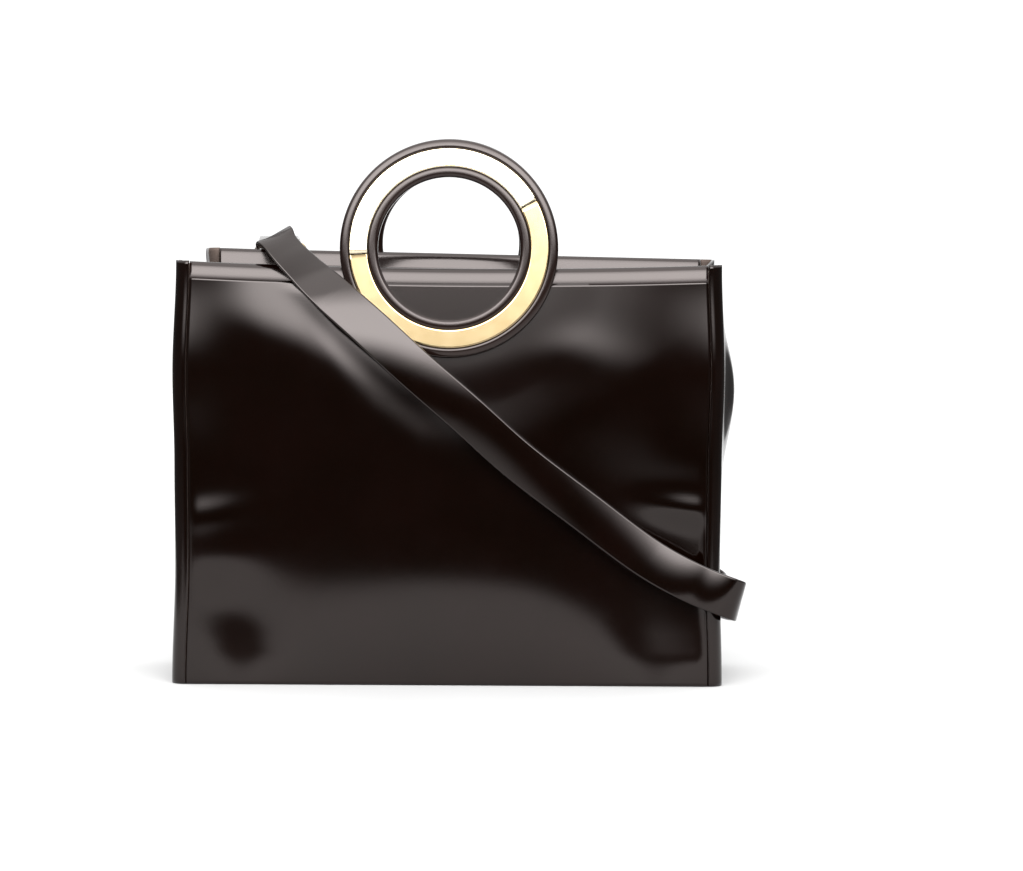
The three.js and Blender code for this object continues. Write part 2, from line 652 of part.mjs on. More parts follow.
const tabLean = THREE.MathUtils.radToDeg(
  Math.atan2(RING_WIRE_RADIUS + CLEARANCE / 2, TAB_LENGTH)
);
const tabWireY = ringBack + TAB_THICKNESS + CLEARANCE + RING_WIRE_RADIUS;
const wireLift = RING_INNER_HEIGHT + 2 * RING_WIRE_RADIUS;

// The left strap ring stands up and the right one hangs down over its tab
const STRAP_RINGS = [
  { name: "left", x: -RING_SPACING / 2, tilt: 0, away: 168, turnSign: -1 },
  { name: "right", x: RING_SPACING / 2, tilt: -147, away: -80, turnSign: 1 },
].map((place) => {
  const tilt = THREE.MathUtils.degToRad(place.tilt);
  const hinge = new THREE.Vector3(place.x, tabWireY, tabTop);
  const far = hinge.clone().add(
    new THREE.Vector3(0, -Math.sin(tilt), Math.cos(tilt)).multiplyScalar(wireLift)
  );
  return { ...place, tilt, hinge, far };
});

function wireRing(place) {
  const halfX = RING_INNER_WIDTH / 2 + RING_WIRE_RADIUS;
  const radius = RING_CORNER_RADIUS;
  const centres = [
    { x: halfX - radius, z: wireLift - radius, from: 0 },
    { x: radius - halfX, z: wireLift - radius, from: 90 },
    { x: radius - halfX, z: radius, from: 180 },
    { x: halfX - radius, z: radius, from: 270 },
  ];
  const rings = centres.flatMap(({ x, z, from }) =>
    steps(CORNER_STEPS + 1).map((share) => {
      const turn = THREE.MathUtils.degToRad(from + 90 * share);
      const outward = new THREE.Vector3(Math.cos(turn), 0, Math.sin(turn));
      const centre = new THREE.Vector3(x, 0, z).addScaledVector(outward, radius);
      return steps(WIRE_SIDES).slice(1).map((side) => {
        const angle = 2 * Math.PI * side;
        return centre
          .clone()
          .addScaledVector(outward, RING_WIRE_RADIUS * Math.cos(angle))
          .add(new THREE.Vector3(0, RING_WIRE_RADIUS * Math.sin(angle), 0));
      });
    })
  );
  const mesh = piece(`strap_ring_${place.name}`, bar(rings, true), paleGold);
  mesh.position.copy(place.hinge);
  mesh.rotation.x = place.tilt;
  return mesh;
}

function strapTab(place) {
  const points = foldedEnd(place.hinge, -90 - tabLean, TAB_THICKNESS, TAB_LENGTH, TAB_LENGTH, 1);
  const across = new THREE.Vector3(1, 0, 0);
  const stations = points.map((point) => ({ point, across }));
  return piece(`strap_tab_${place.name}`, strip(stations, TAB_WIDTH, TAB_THICKNESS), leatherBrown);
}

// Centre line of the strap from the lap at the left ring to the lap at the right one
function strapStations() {
  const [left, right] = STRAP_RINGS;
  const ended = (place) =>
    foldedEnd(place.far, place.away, STRAP_THICKNESS, STRAP_LAP, STRAP_LAP, place.turnSign)
      .map((point) => ({ point, lean: 0, tip: 0 }));
  const middle = STRAP_ROUTE.map((row) => {
    const z = row.height * BODY_HEIGHT;
    const facing = THREE.MathUtils.degToRad(row.facing);
    const out = CLEARANCE + STRAP_THICKNESS / 2 + row.out * standOff;
    const x = row.x * halfWidth(z);
    const level = Math.min(z, BODY_HEIGHT - HEM_HEIGHT);
    const depth = row.y < 0 ? leaningDepth(x, level, FRONT_CREASE) : leaningDepth(-x, level, BACK_CREASE);
    const point = new THREE.Vector3(x, row.y * depth, z);
    point.add(new THREE.Vector3(Math.sin(facing), -Math.cos(facing), 0).multiplyScalar(out));
    return { point, lean: row.lean, tip: row.tip };
  });
  const route = [...ended(left), ...middle, ...ended(right).reverse()];
  const curve = new THREE.CatmullRomCurve3(route.map(({ point }) => point), false, "centripetal");
  return route.flatMap((knot, index) => {
    const next = route[index + 1];
    const count = next ? Math.ceil(knot.point.distanceTo(next.point) / STRAP_STEP) : 1;
    return steps(count).slice(0, -1).map((share) => {
      const point = curve.getPoint((index + share) / (route.length - 1));
      const goal = next ?? knot;
      const lean = THREE.MathUtils.degToRad(THREE.MathUtils.lerp(knot.lean, goal.lean, share));
      const tip = THREE.MathUtils.degToRad(THREE.MathUtils.lerp(knot.tip, goal.tip, share));
      const across = new THREE.Vector3(Math.cos(lean), Math.tan(tip), Math.sin(lean)).normalize();
      return { point, across };
    });
  });
}

const bag = new THREE.Group();
bag.add(
  basePanel(),
  broadSide({
    name: "front",
    folds: FRONT_FOLDS,
    crease: FRONT_CREASE,
    top: FRONT_TOP,
    hasTabs: false,
    isGathered: false,
    turn: 0,
  }),
  broadSide({
    name: "back",
    folds: BACK_FOLDS,
    crease: BACK_CREASE,
    top: BACK_TOP,
    hasTabs: true,
    isGathered: true,
    turn: Math.PI,
  }),
  gussetPiece({
    name: "gusset_right",
    folds: RIGHT_GUSSET_FOLDS,
    between: [FRONT_TOP, BACK_TOP],
    isGathered: false,
    turn: 0,
  }),
  gussetPiece({
    name: "gusset_left",
    folds: LEFT_GUSSET_FOLDS,
    between: [BACK_TOP, FRONT_TOP],
    isGathered: true,
    turn: Math.PI,
  }),
  piece("strap", strip(strapStations(), STRAP_WIDTH, STRAP_THICKNESS), hemBrown)
);
for (const place of STRAP_RINGS) {
  bag.add(strapTab(place), wireRing(place));
}

export default bag;
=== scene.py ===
# A leather tote bag with a ring handle on each broad side and a shoulder strap, in its studio.
# Sizes are in millimetres and become metres where a mesh is made. The front faces -Y and +Z is up.
import math
import bmesh
import bpy
from mathutils import Matrix, Vector


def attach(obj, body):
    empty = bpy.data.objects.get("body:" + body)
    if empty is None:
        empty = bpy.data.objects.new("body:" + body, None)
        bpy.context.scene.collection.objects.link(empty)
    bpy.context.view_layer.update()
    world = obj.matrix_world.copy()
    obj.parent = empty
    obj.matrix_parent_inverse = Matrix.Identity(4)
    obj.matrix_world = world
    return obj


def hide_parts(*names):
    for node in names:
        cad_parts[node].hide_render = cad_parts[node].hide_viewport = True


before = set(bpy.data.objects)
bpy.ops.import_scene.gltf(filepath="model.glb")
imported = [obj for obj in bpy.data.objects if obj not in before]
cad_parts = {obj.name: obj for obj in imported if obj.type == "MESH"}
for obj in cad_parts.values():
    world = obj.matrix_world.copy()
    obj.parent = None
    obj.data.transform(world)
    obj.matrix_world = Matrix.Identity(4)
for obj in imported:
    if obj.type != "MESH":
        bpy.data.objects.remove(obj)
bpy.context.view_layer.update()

MM = 0.001
ROOT = "root"

# Gap between neighbouring pieces
CLEARANCE = 0.3

# Body
BODY_WIDTH = 354
BODY_HEIGHT = 271
BASE_DEPTH = 120
TOP_DEPTH = 110
LEATHER = 2
BASE_THICKNESS = 2.6
BASE_EDGE = 0.4
CORNER_RADIUS = 9
FOLD_RISE = 5

# Bands inside a panel's edges in which its folds die out
FOLD_FADE = {"side": 6, "foot": 26, "hem": 10}

# The crease where a panel's upper part starts to lean back: softness of its turn, band inside the
# panel's sides in which it dies out, and the share of the height over which the belly grows
CREASE_SOFTNESS = 5
CREASE_FADE = 45
BELLY_START = 0.3

# The top's left corner at the back is gathered inwards: how far, and the x, y and height shares from
# which the leather is drawn
GATHER = 14
GATHER_FROM = {"x": 0.7, "y": -0.5, "height": 0.55}

# Inward fold of a gusset's upper part, how far its top edge dips there, and the share of the height
# where the fold starts
GUSSET_VALLEY = 12
GUSSET_DIP = 9
VALLEY_START = 0.55

# The seams of a panel draw its leather in: how deep and over what distance
SEAM_DIP = 0.35
SEAM_REACH = 2.5

# Top lines of the two panels: lift in the middle with no sag, rise towards the panel's right end, sag
FRONT_TOP = {"lift": 0, "tilt": -0.5, "sag": 3.7}
BACK_TOP = {"lift": 3, "tilt": 3, "sag": 0}

# Rolled hem, and how far the panel reaches up into it
HEM_HEIGHT = 10
HEM_THICKNESS = 6.5
HEM_OVERLAP = 0.5

# Section of the hem with the band turned down inside, as shares of its thickness out from the panel's
# face and of its height
HEM_SECTION = [
    {"out": 0.05, "up": -0.08},
    {"out": 0.05, "up": -0.07},
    {"out": 0.03, "up": 0.12},
    {"out": -0.01, "up": 0.32},
    {"out": -0.07, "up": 0.52},
    {"out": -0.15, "up": 0.72},
    {"out": -0.26, "up": 0.88},
    {"out": -0.4, "up": 0.98},
    {"out": -0.54, "up": 1.0},
    {"out": -0.68, "up": 0.94},
    {"out": -0.79, "up": 0.78},
    {"out": -0.89, "up": 0.5},
    {"out": -1.0, "up": 0.1},
    {"out": -1.2, "up": -0.7},
    {"out": -1.05, "up": -0.74},
    {"out": -0.7, "up": -0.1},
    {"out": -0.31, "up": -0.08},
]

# Ring handles
RING_OUTER_RADIUS = 69.6
RING_HOLE_RADIUS = 45.3
RING_THICKNESS = 9
RING_EDGE = 2.5
RING_RISE = 9
RING_TILT = 3.7
RING_TOUCH_DROP = 6
PLATE_OUTER_RADIUS = 63.6
PLATE_INNER_RADIUS = 51.9
PLATE_THICKNESS = 2
PLATE_PROUD = 0.5
PLATE_SEAM = 0.6
PLATE_EDGE = 0.5
PLATE_SHOULDER = 0.15
PLATE_PLAY = 0.1
SEAM_ANGLES = {"left": -94, "right": 61}
RING_FLAT_MARGIN = 4
RING_FLAT_FADE = 30

# The ring's leather beside a plate, towards the hole and towards the rim: how far beyond the plate and
# how far below the ring's face. The rim's leather falls off a little to the rounded edge.
GROOVE_TO_HOLE = [
    {"beyond": 1.6, "below": 0},
    {"beyond": 0.5, "below": 0.25},
    {"beyond": 0, "below": 0.8},
]
GROOVE_TO_RIM = [
    {"beyond": 0, "below": 0.8},
    {"beyond": 0.4, "below": 0.2},
    {"beyond": 1.1, "below": 0},
    {"beyond": 2.2, "below": 0.05},
    {"beyond": 3.2, "below": 0.2},
]
RIM_FALL = 0.3

# Strap, wire rings and tabs
STRAP_WIDTH = 26
STRAP_THICKNESS = 2.4
STRAP_LAP = 18
STRAP_STEP = 2.5
STRAP_EDGE = 1.1
RING_WIRE_RADIUS = 1.75
RING_INNER_WIDTH = 28
RING_INNER_HEIGHT = 10.5
RING_CORNER_RADIUS = 4
RING_SPACING = 0.64 * BODY_WIDTH
TAB_WIDTH = 24
TAB_THICKNESS = 1.8
TAB_LENGTH = 30
TAB_DROP = 6
TAB_FLAT_RADIUS = 23
TAB_FLAT_FADE = 24
TAB_EDGE = 0.8

# Mesh fineness
PANEL_COLUMNS = 150
WALL_ROWS = 120
GUSSET_COLUMNS = 44
CORNER_STEPS = 8
RING_SEGMENTS = 144
PLATE_STEP = 2.5
WIRE_SIDES = 14
TURN_STEPS = 14
ROUND_STEPS = 5

# Level sections of the body: widths as shares of BODY_WIDTH, depths as shares of the two named depths
BODY_SECTIONS = [
    {"height": 0.0, "width": 1.0, "base": 1.0, "top": 0.0},
    {"height": 0.28, "width": 0.989, "base": 1.0, "top": 0.0},
    {"height": 0.52, "width": 0.992, "base": 0.5, "top": 0.545},
    {"height": 0.74, "width": 1.0, "base": 0.0, "top": 1.06},
    {"height": 1.0, "width": 0.988, "base": 0.0, "top": 1.0},
]

# Folds of a panel: x as a share of half the width and height as a share of the height, length and
# breadth as shares of the width and height, turn in degrees, rise as a share of FOLD_RISE
FRONT_FOLDS = [
    {"x": -0.9, "height": 0.4, "length": 0.1, "breadth": 0.042, "turn": 10, "rise": 0.2},
    {"x": -0.88, "height": 0.315, "length": 0.11, "breadth": 0.085, "turn": 6, "rise": 0.2},
    {"x": -0.77, "height": 0.175, "length": 0.1, "breadth": 0.08, "turn": -28, "rise": -0.13},
    {"x": 0.42, "height": 0.8, "length": 0.13, "breadth": 0.06, "turn": -18, "rise": 0.11},
    {"x": 0.88, "height": 0.42, "length": 0.08, "breadth": 0.034, "turn": -8, "rise": 0.3},
    {"x": 0.82, "height": 0.31, "length": 0.33, "breadth": 0.17, "turn": -40, "rise": -0.56},
    {"x": -0.345, "height": 0.835, "length": 0.14, "breadth": 0.03, "turn": -43, "rise": 0.24},
    {"x": 0.93, "height": 0.06, "length": 0.14, "breadth": 0.065, "turn": -4, "rise": 0.11},
]
BACK_FOLDS = [
    {"x": 0.84, "height": 0.38, "length": 0.09, "breadth": 0.034, "turn": -7, "rise": 0.4},
    {"x": -0.85, "height": 0.24, "length": 0.09, "breadth": 0.036, "turn": 9, "rise": 0.4},
]

# Crease across a panel, in shares of half the width and of the height. Below it the leather hangs
# straight, out by its stand in front of the hem, and above it leans back to the hem.
FRONT_CREASE = [
    {"x": -0.94, "height": 0.905, "stand": 0.9},
    {"x": -0.85, "height": 0.89, "stand": 1.4},
    {"x": -0.75, "height": 0.865, "stand": 2.6},
    {"x": -0.665, "height": 0.84, "stand": 3.7},
    {"x": -0.54, "height": 0.812, "stand": 4.9},
    {"x": -0.42, "height": 0.765, "stand": 5.6},
    {"x": -0.27, "height": 0.655, "stand": 6.2},
    {"x": -0.1, "height": 0.575, "stand": 7.0},
    {"x": 0.1, "height": 0.565, "stand": 7.1},
    {"x": 0.3, "height": 0.585, "stand": 6.7},
    {"x": 0.55, "height": 0.675, "stand": 5.0},
    {"x": 0.77, "height": 0.77, "stand": 2.2},
    {"x": 0.91, "height": 0.85, "stand": 0.9},
]
BACK_CREASE = [
    {"x": -0.92, "height": 0.85, "stand": 4.0},
    {"x": -0.05, "height": 0.5, "stand": 7.5},
    {"x": 0.92, "height": 0.87, "stand": 4.5},
]

# Folds of a gusset: across and reach as shares of half the depth, height and breadth of the height
RIGHT_GUSSET_FOLDS = [
    {"across": -0.55, "height": 0.715, "reach": 0.6, "breadth": 0.17, "rise": 2.7},
    {"across": 0.2, "height": 0.33, "reach": 0.5, "breadth": 0.08, "rise": -0.7},
]
LEFT_GUSSET_FOLDS = [
    {"across": 0.1, "height": 0.55, "reach": 0.7, "breadth": 0.2, "rise": 0.5},
    {"across": -0.2, "height": 0.3, "reach": 0.5, "breadth": 0.07, "rise": -0.7},
]

# The strap between its loops: x and y as shares of half the width and depth there, height as a share,
# out as a share of the ring handle's stand-off in the plan direction facing. In degrees, lean is the
# rise of the strap's right edge and tip how far that edge falls back.
STRAP_ROUTE = [
    {"x": -0.64, "y": -0.1, "height": 1.04, "out": 0, "facing": 0, "lean": 8, "tip": 15},
    {"x": -0.645, "y": -0.6, "height": 1.05, "out": 0, "facing": 0, "lean": 22, "tip": 32},
    {"x": -0.635, "y": -0.93, "height": 1.057, "out": 0, "facing": 0, "lean": 33, "tip": 44},
    {"x": -0.585, "y": -1.0, "height": 1.022, "out": 0.35, "facing": 0, "lean": 40, "tip": 43},
    {"x": -0.52, "y": -1.0, "height": 0.981, "out": 0.75, "facing": 0, "lean": 43, "tip": 36},
    {"x": -0.42, "y": -1.0, "height": 0.925, "out": 1.28, "facing": 0, "lean": 46, "tip": 18},
    {"x": -0.29, "y": -1.0, "height": 0.853, "out": 1.55, "facing": 0, "lean": 48, "tip": 10},
    {"x": -0.12, "y": -1.0, "height": 0.753, "out": 1.58, "facing": 0, "lean": 49, "tip": 4},
    {"x": 0.07, "y": -1.0, "height": 0.646, "out": 1.38, "facing": 0, "lean": 50, "tip": 0},
    {"x": 0.25, "y": -1.0, "height": 0.542, "out": 1.1, "facing": 0, "lean": 51, "tip": 0},
    {"x": 0.49, "y": -1.0, "height": 0.424, "out": 1.04, "facing": 0, "lean": 54, "tip": 3},
    {"x": 0.74, "y": -1.0, "height": 0.306, "out": 1.16, "facing": 0, "lean": 59, "tip": 6},
    {"x": 0.91, "y": -1.0, "height": 0.247, "out": 0.95, "facing": 0, "lean": 65, "tip": 4},
    {"x": 1.0, "y": -1.0, "height": 0.21, "out": 1.05, "facing": 52, "lean": 74, "tip": 1},
    {"x": 1.0, "y": -0.7, "height": 0.198, "out": 1.0, "facing": 90, "lean": 78, "tip": 0},
    {"x": 1.0, "y": -0.1, "height": 0.185, "out": 0.6, "facing": 90, "lean": 84, "tip": 0},
    {"x": 1.0, "y": 0.55, "height": 0.176, "out": 0.38, "facing": 90, "lean": 82, "tip": 0},
    {"x": 1.0, "y": 0.93, "height": 0.182, "out": 0.38, "facing": 130, "lean": 72, "tip": 0},
    {"x": 0.93, "y": 1.0, "height": 0.225, "out": 0.6, "facing": 180, "lean": 60, "tip": 0},
    {"x": 0.76, "y": 1.0, "height": 0.4, "out": 0.8, "facing": 180, "lean": 36, "tip": 0},
    {"x": 0.655, "y": 1.0, "height": 0.62, "out": 0.9, "facing": 180, "lean": 10, "tip": 0},
]


def steps(count):
    return [index / count for index in range(count + 1)]


def mix(low, high, share):
    return low + (high - low) * share


def smoothstep(value, low, high):
    share = min(max((value - low) / (high - low), 0), 1)
    return share * share * (3 - 2 * share)


def from_table(table, height, column):
    if height <= table[0]["height"]:
        return table[0][column]
    for low, high in zip(table, table[1:]):
        if height <= high["height"]:
            share = smoothstep(height, low["height"], high["height"])
            return mix(low[column], high[column], share)
    return table[-1][column]


def half_width(z):
    return from_table(BODY_SECTIONS, z / BODY_HEIGHT, "width") * BODY_WIDTH / 2


def half_depth(z):
    base = from_table(BODY_SECTIONS, z / BODY_HEIGHT, "base") * BASE_DEPTH
    top = from_table(BODY_SECTIONS, z / BODY_HEIGHT, "top") * TOP_DEPTH
    return (base + top) / 2


def top_line(x, top):
    share = x / half_width(BODY_HEIGHT)
    return BODY_HEIGHT + top["lift"] + top["tilt"] * share - top["sag"] * (1 - share * share)


def panel_reach(z):
    return half_width(z) - CORNER_RADIUS - CLEARANCE


ring_height = BODY_HEIGHT + RING_RISE
ring_tilt = math.radians(RING_TILT)
ring_touch = BODY_HEIGHT - RING_TOUCH_DROP
tab_top = BODY_HEIGHT - TAB_DROP
ring_back = TOP_DEPTH / 2 + CLEARANCE
ring_face = ring_back + RING_THICKNESS
stand_off = RING_THICKNESS + PLATE_PROUD + CLEARANCE


# Meshes

def finish_piece(name, mesh, looks, nodes, turn=0.0):
    """Shades a new mesh smooth, gives it its materials and hangs it on the frame in place of its nodes."""
    for look in looks:
        mesh.materials.append(look)
    mesh.polygons.foreach_set("use_smooth", [True] * len(mesh.polygons))
    if turn:
        mesh.transform(Matrix.Rotation(turn, 4, "Z"))
        gather(mesh)
    piece = bpy.data.objects.new(name, mesh)
    bpy.context.scene.collection.objects.link(piece)
    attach(piece, ROOT)
    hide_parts(*nodes)
    return piece


def sweep(name, rings, closed=False, inner_from=None):
    """A closed skin through equal rings of points. Faces from inner_from on get the second material."""
    sides = len(rings[0])
    spans = len(rings) if closed else len(rings) - 1
    points = [point * MM for ring in rings for point in ring]

    def at(ring, side):
        return (ring % len(rings)) * sides + side % sides

    faces = []
    marks = []
    for ring in range(spans):
        for side in range(sides):
            faces.append((at(ring, side), at(ring, side + 1), at(ring + 1, side + 1), at(ring + 1, side)))
            marks.append(int(inner_from is not None and inner_from <= side < sides - 1))
    if not closed:
        for side in range(sides // 2 - 1):
            far = sides - 1 - side
            faces.append((at(0, side), at(0, far), at(0, far - 1), at(0, side + 1)))
            faces.append((at(spans, side), at(spans, side + 1), at(spans, far - 1), at(spans, far)))
            marks += [0, 0]
    mesh = bpy.data.meshes.new(name)
    mesh.from_pydata([tuple(point) for point in points], [], faces)
    mesh.polygons.foreach_set("material_index", marks)
    shape = bmesh.new()
    shape.from_mesh(mesh)
    bmesh.ops.recalc_face_normals(shape, faces=shape.faces)
    shape.to_mesh(mesh)
    shape.free()
    return mesh


def rounded_section(width, thickness, radius):
    """Points of a flat strip's section, as across and over, with its narrow edges rounded."""
    points = []
    for sign in (1, -1):
        for share in steps(ROUND_STEPS):
            turn = math.pi / 2 * (1 - share)
            across = width / 2 - radius + radius * math.cos(turn)
            points.append((sign * across, sign * (thickness / 2 - radius + radius * math.sin(turn))))
        for share in steps(ROUND_STEPS):
            turn = -math.pi / 2 * share
            across = width / 2 - radius + radius * math.cos(turn)
            points.append((sign * across, sign * (radius - thickness / 2 + radius * math.sin(turn))))
    return points


def strip(name, stations, section):
    """A strip of leather along stations of centre point and across direction."""
    rings = []
    for index, (point, across) in enumerate(stations):
        before = stations[max(index - 1, 0)][0]
        after = stations[min(index + 1, len(stations) - 1)][0]
        along = (after - before).normalized()
        over = along.cross(across).normalized()
        side = over.cross(along).normalized()
        rings.append([point + side * a + over * b for a, b in section])
    return sweep(name, rings)


def lathe(name, profile, step, start=0.0, end=360.0):
    """Turns a profile of radius and y about the ring handle's axis, clockwise from the top."""
    whole = end - start >= 360
    count = math.ceil((end - start) / step)
    rings = []
    for index in range(count if whole else count + 1):
        turn = math.radians(mix(start, end, index / count))
        rings.append([
            Vector((radius * math.sin(turn), y, ring_height + radius * math.cos(turn)))
            for radius, y in profile
        ])
    return sweep(name, rings, closed=whole)


def crease_at(x, crease):
    """Height of the crease across a panel at x and how far the leather below it stands out."""
    share = min(max(x / (BODY_WIDTH / 2), crease[0]["x"]), crease[-1]["x"])
    for low, high in zip(crease, crease[1:]):
        if share <= high["x"]:
            part = (share - low["x"]) / (high["x"] - low["x"])
            height = mix(low["height"], high["height"], part) * BODY_HEIGHT
            return height, mix(low["stand"], high["stand"], part)


def panel_lean(x, z, crease):
    """How far a panel's face stands out from the level sections: it hangs upright below the crease and
    leans back to the hem above it, and keeps to the sections along its sides and foot."""
    foot, stand = crease_at(x, crease)
    head = BODY_HEIGHT - HEM_HEIGHT
    above = CREASE_SOFTNESS * math.log1p(math.exp((z - foot) / CREASE_SOFTNESS))
    share = min(above / (head - foot), 1)
    wanted = TOP_DEPTH / 2 + stand * (1 - share)
    edge = smoothstep(panel_reach(z) - abs(x), 0, CREASE_FADE)
    rise = 1 - (1 - min(z / (BELLY_START * BODY_HEIGHT), 1)) ** 2
    return (wanted - half_depth(z)) * edge * rise


def panel_relief(x, z, folds):
    edge = smoothstep(panel_reach(z) - abs(x), 0, FOLD_FADE["side"])
    foot = smoothstep(z, 0, FOLD_FADE["foot"])
    head = smoothstep(BODY_HEIGHT - HEM_HEIGHT - z, 0, FOLD_FADE["hem"])
    rise = 0
    for fold in folds:
        turn = math.radians(fold["turn"])
        dx = x - fold["x"] * BODY_WIDTH / 2
        dz = z - fold["height"] * BODY_HEIGHT
        along = (dx * math.cos(turn) + dz * math.sin(turn)) / (fold["length"] * BODY_WIDTH)
        aside = (dz * math.cos(turn) - dx * math.sin(turn)) / (fold["breadth"] * BODY_HEIGHT)
        rise += fold["rise"] * FOLD_RISE * math.exp(-along * along - aside * aside)
    return rise * edge * foot * head


def seam_dip(x, z):
    """The seam that joins a panel to its gussets draws the leather in a little."""
    gap = panel_reach(z) - abs(x)
    return -SEAM_DIP * math.exp(-((gap / SEAM_REACH) ** 2))


def panel_out(x, z, folds, crease, has_tabs):
    """A panel's face: flat behind the strap's tabs, and along the ring's back behind the ring handle."""
    out = half_depth(z) + panel_lean(x, z, crease) + panel_relief(x, z, folds)
    if has_tabs:
        from_tab = math.hypot(abs(x) - RING_SPACING / 2, z - tab_top + TAB_LENGTH / 2) - TAB_FLAT_RADIUS
        out = mix(TOP_DEPTH / 2, out, smoothstep(from_tab, 0, TAB_FLAT_FADE))
    behind_ring = TOP_DEPTH / 2 + math.tan(ring_tilt) * (ring_touch - z)
    from_ring = math.hypot(x, z - ring_height) - RING_OUTER_RADIUS - RING_FLAT_MARGIN
    return mix(behind_ring, out, smoothstep(from_ring, 0, RING_FLAT_FADE)) + seam_dip(x, z)


def panel_mesh(name, folds, crease, top, has_tabs):
    rings = []
    for up in steps(WALL_ROWS):
        outer = []
        inner = []
        for share in steps(PANEL_COLUMNS):
            across = 2 * share - 1
            head = top_line(across * panel_reach(BODY_HEIGHT), top) - HEM_HEIGHT + HEM_OVERLAP
            z = mix(CLEARANCE, head, up)
            x = across * panel_reach(z)
            out = panel_out(x, z, folds, crease, has_tabs)
            outer.append(Vector((x, -out, z)))
            inner.append(Vector((x, LEATHER - out, z)))
        rings.append(outer + inner[::-1])
    return sweep(name, rings, inner_from=PANEL_COLUMNS)


def hem_mesh(name, top):
    rings = []
    for share in steps(PANEL_COLUMNS):
        x = (2 * share - 1) * panel_reach(BODY_HEIGHT)
        foot = top_line(x, top) - HEM_HEIGHT
        rings.append([
            Vector((x, -TOP_DEPTH / 2 - row["out"] * HEM_THICKNESS, foot + row["up"] * HEM_HEIGHT))
            for row in HEM_SECTION
        ])
    return sweep(name, rings)


def gusset_relief(y, z, folds):
    half = half_depth(z) - CORNER_RADIUS
    edge = math.cos(y / half * math.pi / 2)
    height = z / BODY_HEIGHT
    rise = -GUSSET_VALLEY * smoothstep(height, VALLEY_START, 1) * edge * edge
    for fold in folds:
        aside = (y - fold["across"] * half) / (fold["reach"] * half)
        up = (height - fold["height"]) / fold["breadth"]
        rise += fold["rise"] * FOLD_RISE * edge * math.exp(-aside * aside - up * up)
    return rise


def gusset_line(up, inset, folds, tops):
    def place(share):
        dip = GUSSET_DIP * math.sin(math.pi * share) ** 2
        z = mix(CLEARANCE, mix(tops[0], tops[1], share) - dip, up)
        return half_width(z) - CORNER_RADIUS, half_depth(z) - CORNER_RADIUS, z

    radius = CORNER_RADIUS - inset
    line = []
    for share in steps(CORNER_STEPS):
        middle_x, middle_y, z = place(0)
        turn = share * math.pi / 2
        line.append(Vector((middle_x + radius * math.sin(turn), -middle_y - radius * math.cos(turn), z)))
    for share in steps(GUSSET_COLUMNS)[1:-1]:
        middle_x, middle_y, z = place(share)
        y = (2 * share - 1) * middle_y
        line.append(Vector((middle_x + radius + gusset_relief(y, z, folds), y, z)))
    for share in steps(CORNER_STEPS):
        middle_x, middle_y, z = place(1)
        turn = (1 - share) * math.pi / 2
        line.append(Vector((middle_x + radius * math.sin(turn), middle_y + radius * math.cos(turn), z)))
    return line


def gusset_mesh(name, folds, left_top, right_top):
    reach = half_width(BODY_HEIGHT)
    tops = (top_line(reach, left_top), top_line(-reach, right_top))
    rings = []
    for up in steps(WALL_ROWS):
        outer = gusset_line(up, 0, folds, tops)
        inner = gusset_line(up, LEATHER, folds, tops)
        rings.append(outer + inner[::-1])
    return sweep(name, rings, inner_from=len(rings[0]) // 2 - 1)


def base_mesh(name):
    inset = LEATHER + CLEARANCE
    half_x = half_width(0) - inset
    half_y = half_depth(0) - inset
    radius = CORNER_RADIUS - inset
    outline = []
    for corner, (sign_x, sign_y) in enumerate([(1, 1), (-1, 1), (-1, -1), (1, -1)]):
        for share in steps(CORNER_STEPS):
            turn = math.pi / 2 * (corner + share)
            x = sign_x * (half_x - radius) + radius * math.cos(turn)
            y = sign_y * (half_y - radius) + radius * math.sin(turn)
            outline.append((x, y))
    shape = bmesh.new()
    loop = [shape.verts.new((x * MM, y * MM, 0)) for x, y in outline]
    face = shape.faces.new(loop)
    grown = bmesh.ops.extrude_face_region(shape, geom=[face])
    risen = [item for item in grown["geom"] if isinstance(item, bmesh.types.BMVert)]
    bmesh.ops.translate(shape, verts=risen, vec=(0, 0, BASE_THICKNESS * MM))
    bmesh.ops.bevel(shape, geom=shape.edges[:], offset=BASE_EDGE * MM, segments=2, affect="EDGES")
    bmesh.ops.recalc_face_normals(shape, faces=shape.faces)
    mesh = bpy.data.meshes.new(name)
    shape.to_mesh(mesh)
    shape.free()
    return mesh


def ring_profile():
    """Section of the leather-covered ring, with the groove that holds the plates in its outer face."""
    face = -ring_face
    back = -ring_back
    floor = face + PLATE_THICKNESS - PLATE_PROUD

    def corner(radius, y, start):
        return [
            (radius + RING_EDGE * math.cos(math.radians(start + 90 * share)),
             y + RING_EDGE * math.sin(math.radians(start + 90 * share)))
            for share in steps(ROUND_STEPS)
        ]

    low = RING_HOLE_RADIUS + RING_EDGE
    high = RING_OUTER_RADIUS - RING_EDGE
    groove = [(PLATE_INNER_RADIUS - row["beyond"], face + row["below"]) for row in GROOVE_TO_HOLE]
    groove += [(PLATE_INNER_RADIUS, floor), (PLATE_OUTER_RADIUS, floor)]
    groove += [(PLATE_OUTER_RADIUS + row["beyond"], face + row["below"]) for row in GROOVE_TO_RIM]
    return (
        corner(low, face + RING_EDGE, 180) + groove + corner(high, face + RIM_FALL + RING_EDGE, 270)
        + corner(high, back - RING_EDGE, 0) + corner(low, back - RING_EDGE, 90)
    )


